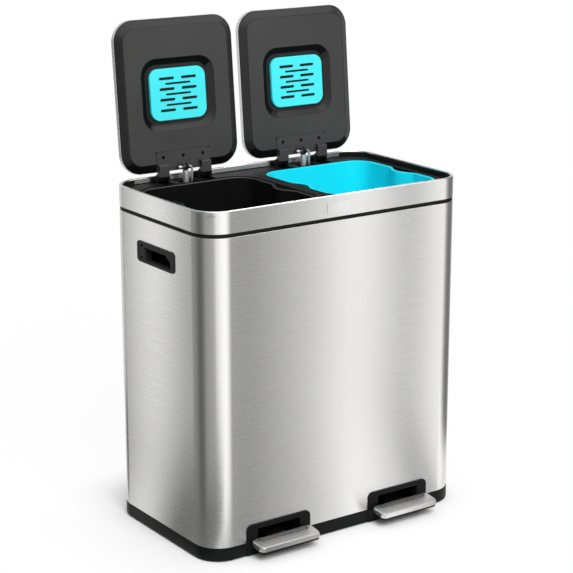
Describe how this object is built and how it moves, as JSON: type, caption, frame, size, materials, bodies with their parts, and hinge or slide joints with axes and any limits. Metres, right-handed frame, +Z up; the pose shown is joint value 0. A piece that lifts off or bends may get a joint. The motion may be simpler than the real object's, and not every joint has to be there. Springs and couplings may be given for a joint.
{
  "type": "double recycling bin",
  "caption": "Tall steel recycling bin with side-by-side lift-out buckets, hinged lids opened by front pedals, and a black base and inner frame.",
  "frame": {"origin": "centre of the overall box in X and Y, on the floor under the feet, lids open and pedals down", "axes": "+Z up, -Y to the pedals in front, +X to the right seen from the front"},
  "size_m": [0.5936, 0.414, 0.965],
  "materials": {
    "stainless_steel": "fine horizontal brushed grain, satin",
    "bright_steel": "bright zinc-plated steel",
    "dark_steel": "black-oxide steel screw",
    "black_moulding": "fine-textured moulded black",
    "bucket_black": "satin moulded black",
    "bucket_cyan": "satin moulded cyan",
    "filter_cyan": "satin moulded cyan",
    "lid_moulding": "satin dark grey moulding",
    "carbon_felt": "felted fibre pad",
    "rubber": "matt rubber"
  },
  "bodies": {
    "bin_body": {"base_tray": "black_moulding", "body_shell": "stainless_steel", "rim_band": "stainless_steel", "top_frame": "black_moulding", "front_plate": "stainless_steel", "foot_front_left": "rubber", "foot_front_right": "rubber", "foot_rear_left": "rubber", "foot_rear_right": "rubber", "pedal_frame_left": "black_moulding", "handle_left": "black_moulding", "pivot_pin_left": "bright_steel", "damper_anchor_left": "bright_steel", "hinge_pin_left_a": "bright_steel", "hinge_pin_left_b": "bright_steel", "lid_buffer_left_a": "rubber", "lid_buffer_left_b": "rubber", "pedal_frame_right": "black_moulding", "handle_right": "black_moulding", "pivot_pin_right": "bright_steel", "damper_anchor_right": "bright_steel", "hinge_pin_right_a": "bright_steel", "hinge_pin_right_b": "bright_steel", "lid_buffer_right_a": "rubber", "lid_buffer_right_b": "rubber"},
    "bucket_body_left": {"bucket_left": "bucket_black"},
    "lid_left": {"lid_cover_left": "stainless_steel", "lid_liner_left": "lid_moulding", "carbon_filter_left": "carbon_felt", "hinge_bracket_left": "lid_moulding", "bracket_screw_left_a": "dark_steel", "bracket_screw_left_b": "dark_steel", "bracket_screw_left_c": "dark_steel"},
    "cap_left": {"filter_cap_left": "filter_cyan"},
    "rod_left": {"push_rod_left": "bright_steel", "rod_cap_left": "bright_steel"},
    "damper_left": {"damper_eye_left": "black_moulding", "damper_tube_left": "bright_steel"},
    "damper_slide_left": {"damper_rod_left": "bright_steel"},
    "pedal_left": {"pedal_plate_left": "stainless_steel", "pedal_core_left": "black_moulding", "pedal_lever_left": "bright_steel"},
    "bucket_body_right": {"bucket_right": "bucket_cyan"},
    "lid_right": {"lid_cover_right": "stainless_steel", "lid_liner_right": "lid_moulding", "carbon_filter_right": "carbon_felt", "hinge_bracket_right": "lid_moulding", "bracket_screw_right_a": "dark_steel", "bracket_screw_right_b": "dark_steel", "bracket_screw_right_c": "dark_steel"},
    "cap_right": {"filter_cap_right": "filter_cyan"},
    "rod_right": {"push_rod_right": "bright_steel", "rod_cap_right": "bright_steel"},
    "damper_right": {"damper_eye_right": "black_moulding", "damper_tube_right": "bright_steel"},
    "damper_slide_right": {"damper_rod_right": "bright_steel"},
    "pedal_right": {"pedal_plate_right": "stainless_steel", "pedal_core_right": "black_moulding", "pedal_lever_right": "bright_steel"}
  },
  "joints": [
    {"name": "lid_hinge_left", "type": "hinge", "parent": "bin_body", "child": "lid_left", "pos_m": [-0.1396, 0.16705, 0.6618], "axis": [-1, 0, 0], "range_deg": [-95.2, 0]},
    {"name": "bucket_lift_left", "type": "slide", "parent": "bin_body", "child": "bucket_body_left", "axis": [0, 0, 1], "range_m": [0, 0.56]},
    {"name": "cap_pull_left", "type": "slide", "parent": "lid_left", "child": "cap_left", "axis": [0, -0.9959, 0.0906], "range_m": [0, 0.012]},
    {"name": "rod_pivot_left", "type": "hinge", "parent": "lid_left", "child": "rod_left", "pos_m": [-0.1396, 0.15576, 0.6812], "axis": [-1, 0, 0], "range_deg": [0, 94.56]},
    {"name": "damper_pivot_left", "type": "hinge", "parent": "lid_left", "child": "damper_left", "pos_m": [-0.1396, 0.15576, 0.6812], "axis": [-1, 0, 0], "range_deg": [0, 93.23]},
    {"name": "damper_slide_left", "type": "slide", "parent": "damper_left", "child": "damper_slide_left", "axis": [0, 0, 1], "range_m": [0, 0.03241]},
    {"name": "pedal_pivot_left", "type": "hinge", "parent": "bin_body", "child": "pedal_left", "pos_m": [-0.142, -0.05025, 0.034], "axis": [1, 0, 0], "range_deg": [-9.14, 0]},
    {"name": "lid_hinge_right", "type": "hinge", "parent": "bin_body", "child": "lid_right", "pos_m": [0.1396, 0.16705, 0.6618], "axis": [-1, 0, 0], "range_deg": [-95.2, 0]},
    {"name": "bucket_lift_right", "type": "slide", "parent": "bin_body", "child": "bucket_body_right", "axis": [0, 0, 1], "range_m": [0, 0.56]},
    {"name": "cap_pull_right", "type": "slide", "parent": "lid_right", "child": "cap_right", "axis": [0, -0.9959, 0.0906], "range_m": [0, 0.012]},
    {"name": "rod_pivot_right", "type": "hinge", "parent": "lid_right", "child": "rod_right", "pos_m": [0.1396, 0.15576, 0.6812], "axis": [-1, 0, 0], "range_deg": [0, 94.56]},
    {"name": "damper_pivot_right", "type": "hinge", "parent": "lid_right", "child": "damper_right", "pos_m": [0.1396, 0.15576, 0.6812], "axis": [-1, 0, 0], "range_deg": [0, 93.23]},
    {"name": "damper_slide_right", "type": "slide", "parent": "damper_right", "child": "damper_slide_right", "axis": [0, 0, 1], "range_m": [0, 0.03241]},
    {"name": "pedal_pivot_right", "type": "hinge", "parent": "bin_body", "child": "pedal_right", "pos_m": [0.142, -0.05025, 0.034], "axis": [1, 0, 0], "range_deg": [-9.14, 0]}
  ],
  "couplings": [
    {"joint": "pedal_pivot_left", "follows": "lid_hinge_left", "ratio": 0.095938},
    {"joint": "rod_pivot_left", "follows": "lid_hinge_left", "ratio": -0.9932},
    {"joint": "damper_pivot_left", "follows": "lid_hinge_left", "ratio": -0.97923},
    {"joint": "damper_slide_left", "follows": "lid_hinge_left", "m_per_rad": -0.019502},
    {"joint": "pedal_pivot_right", "follows": "lid_hinge_right", "ratio": 0.095938},
    {"joint": "rod_pivot_right", "follows": "lid_hinge_right", "ratio": -0.9932},
    {"joint": "damper_pivot_right", "follows": "lid_hinge_right", "ratio": -0.97923},
    {"joint": "damper_slide_right", "follows": "lid_hinge_right", "m_per_rad": -0.019502}
  ]
}
